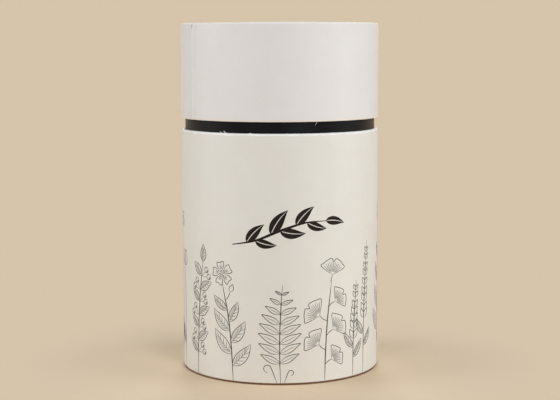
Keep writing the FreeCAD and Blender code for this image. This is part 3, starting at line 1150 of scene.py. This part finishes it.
def pod_stems(pen, foot, height, lean):
    """Bare stems with seed heads over long plain leaves."""
    for share, shift, side in ((1, 0, 1), (0.76, 4.5, 1), (0.58, -5, -1)):
        stem = draw_stem(pen, foot + shift, height * share, lean * 0.7 + side * 2, room=6)
        seed_pod(pen, stem[-1], end_heading(stem), size=5.4)
        low = stem[round(len(stem) * 0.22)]
        leaf(pen, low, pi / 2 + side * 0.7, length=11, breadth=3.0, bend=-side * 0.5)


def bud_spires(pen, foot, height, lean):
    """Tall spires set with pairs of buds."""
    for share, shift in ((1, 1.5), (0.72, -5.5)):
        stem = draw_stem(pen, foot + shift, height * share, lean * share, width=SPIRE_STEM)
        pairs = round(height * share / 6)
        for spot, up, _, passed in stations(stem, pairs, first=0.42, spread=0.58, spare=2):
            size = 4.6 - 2.2 * passed
            for side in (-1, 1):
                teardrop(pen, spot, up + side * 0.55, length=size, breadth=0.48 * size)
        for side, place in ((-1, 0.3), (1, 0.2)):
            low = stem[round(len(stem) * place)]
            leaf(pen, low, pi / 2 - side * 0.85, length=9, breadth=2.8, bend=side * 0.4)


def fan_branch(pen, foot, height, lean):
    """Fan leaves on alternate stalks."""
    stem = draw_stem(pen, foot, height, lean, room=6)
    fan_length = 9
    count = max(4, round(height / 9))
    for spot, up, side, _ in stations(stem, count, first=0.18, spread=0.74, spare=1):
        out = up + side * pen.vary(0.8, 1.05)
        fan_leaf(pen, spot, out, fan_length * pen.vary(0.85, 1.05))
    fan_leaf(pen, stem[-1], end_heading(stem), fan_length)


# The plants: kind, foot, height and lean
DRAWING_SEED = 41
PLANTS = [
    (pod_stems, -119, 60, 3),
    (leafy_branch, -98, 66, -5),
    (fern, -80, 56, -6),
    (pod_stems, -57.5, 66, -3),
    (berry_branch, -40, 55, 4),
    (leafy_branch, -20, 46, -5),
    (fern, 0, 40, 4),
    (fan_branch, 18.5, 46, 3),
    (bud_spires, 38.5, 56, 3),
    (leafy_branch, 58, 67, 5),
    (berry_branch, 77, 58, -4),
    (fan_branch, 96, 66, 5),
    (bud_spires, 116, 58, -3),
]


def make_drawing():
    """The pen drawing round the lower body."""
    pen = Pen()
    for plant, *sizes in PLANTS:
        plant(pen, *sizes)
    pen.finish("body_drawing", PRINT_INK)


# Brush sprig on the front: stem spots, then leaves as place along the stem, side, length and turn
SPRIG_STEM = [(-20, 56.7), (-10, 58.7), (0, 62.7), (10, 65.7), (19, 66.2)]
SPRIG_LEAVES = [
    (0.16, 1, 10.5, 0.85),
    (0.26, -1, 9.0, 0.75),
    (0.42, 1, 12.0, 0.8),
    (0.52, -1, 10.5, 0.7),
    (0.68, 1, 10.5, 0.75),
    (0.78, -1, 9.0, 0.7),
    (1.0, 1, 9.0, 0.05),
]
SPRIG_THIN = 0.12
SPRIG_SWELL = 0.42
SPRIG_PHASE = (0.12, 0.8)
SPRIG_BEND = 0.5

# Brush leaf: points of its spine, breadth of each half in lengths, gap at the midrib and least half width
BRUSH_STEPS = 14
BRUSH_HALVES = ((-1, 0.42), (1, 0.38))
BRUSH_FULLEST = 0.72
BRUSH_GAP = 0.32
BRUSH_LEAST = 0.03


def brush_leaf(mark, base, heading, length, bend):
    """A leaf of two brush strokes beside a bare midrib."""
    spine = arc_spots(base, heading, length, bend, BRUSH_STEPS)
    for side, breadth in BRUSH_HALVES:
        outer = leaf_edge(spine, breadth * length, side, BRUSH_FULLEST)
        inner = leaf_edge(spine, BRUSH_GAP, side, BRUSH_FULLEST)
        path = [first.lerp(second, 0.5) for first, second in zip(outer, inner)]
        halves = [max(BRUSH_LEAST, (first - second).length / 2) for first, second in zip(outer, inner)]
        mark.ribbon(path, halves)


def make_mark():
    """The bold sprig painted with a brush."""
    mark = Pen()
    stem = [Vector(spot) for spot in SPRIG_STEM]
    stroke = smooth(stem, PEN_STEP)
    last = len(stroke) - 1
    start, spread = SPRIG_PHASE
    swells = [sin(pi * (start + spread * (index / last))) ** 2 for index in range(last + 1)]
    mark.ribbon(stroke, [SPRIG_THIN + SPRIG_SWELL * swell for swell in swells])
    path = smooth(stem, STEM_STEP)
    for share, side, length, turn in SPRIG_LEAVES:
        index = round((len(path) - 1) * share)
        brush_leaf(mark, path[index], heading_at(path, index) + side * turn, length, -side * SPRIG_BEND)
    mark.finish("front_sprig", BRUSH_INK)


def make_notch_shade():
    """The grey sliver of painted shade in the notch at the top of the cap's overlap."""
    shade_sliver = Pen(cap_radius)
    across = (radians(TICK_ANGLE) - tau - FRONT) * BODY_R / MM
    top = (FOLD_TOP - FOLD_ROUND / 2) / MM
    shares = [step / SHADE_STEPS for step in range(SHADE_STEPS)]
    path = [Vector((across, top - TICK_HEIGHT / MM * share)) for share in shares]
    shade_sliver.ribbon(path, [TICK_SHADE_HALF / MM * (1 - share) for share in shares])
    shade_sliver.finish("notch_shade_sliver", NOTCH_SHADE, "cap", "white_wrap")


# Studio

def make_floor():
    """A wide level floor."""
    mesh = bpy.data.meshes.new("floor")
    corners = [(x * FLOOR_HALF, y * FLOOR_HALF, 0) for x, y in ((-1, -1), (1, -1), (1, 1), (-1, 1))]
    mesh.from_pydata(corners, [], [(0, 1, 2, 3)])
    mesh.materials.append(FLOOR_PAINT)
    floor = new_object("floor", mesh)


def add_light(name, place, size, power):
    """A soft box aimed at the middle of the tube."""
    lamp = bpy.data.lights.new(name, "AREA")
    lamp.shape = "RECTANGLE"
    lamp.size, lamp.size_y = size
    lamp.energy = power
    box = new_object(name, lamp)
    box.location = place
    aim = Vector((0, 0, CAD_HIGH.z / 2)) - box.location
    box.rotation_euler = aim.to_track_quat("-Z", "Y").to_euler()


# Side boxes: degrees from the front towards +X, width and power; all at one distance, elevation and height
SIDE_BOXES = [(-85, 2.0, 56.5), (-25, 1.2, 19.2), (25, 1.2, 43.2), (82, 2.0, 53.6), (180, 1.2, 40.0)]
SIDE_REACH = 3.0
SIDE_RISE = radians(24)
SIDE_TALL = 2.5
TOP_BOX = ((0, -0.05, 1.5), (1.4, 1.4), 1.8)


def make_lights():
    """Soft boxes in front, to both sides, behind and above."""
    for degrees, width, power in SIDE_BOXES:
        turn = FRONT + radians(degrees)
        rise = CAD_HIGH.z / 2 + SIDE_REACH * math.tan(SIDE_RISE)
        add_light(f"side_box_{degrees}", place_at(turn, SIDE_REACH, rise), (width, SIDE_TALL), power)
    add_light("top_box", *TOP_BOX)


def make_surround():
    """The backdrop's colour all round, which gives no light."""
    world = bpy.data.worlds.new("studio")
    graph = Graph(world)
    graph.fill(graph.tree.nodes["Background"], {"Color": BACKDROP, "Strength": graph.seen()})
    bpy.context.scene.world = world


def make_camera():
    """The photograph's point of view."""
    lens = bpy.data.cameras.new("camera")
    lens.sensor_fit = "HORIZONTAL"
    lens.sensor_width = SENSOR
    lens.lens = FOCAL_PIXELS * SENSOR / IMAGE_WIDTH
    lens.clip_start = CAMERA_NEAR
    camera = new_object("camera", lens)
    tilt = Matrix.Rotation(pi / 2 - CAMERA_PITCH, 3, "X")
    camera.rotation_euler = (tilt @ Matrix.Rotation(CAMERA_ROLL, 3, "Z")).to_euler()
    camera.location = (0, -CAMERA_BACK, CAMERA_HEIGHT)
    bpy.context.scene.camera = camera


make_layers()
make_drawing()
make_mark()
make_notch_shade()
make_floor()
make_lights()
make_surround()
make_camera()
bpy.context.scene.view_settings.view_transform = "Standard"
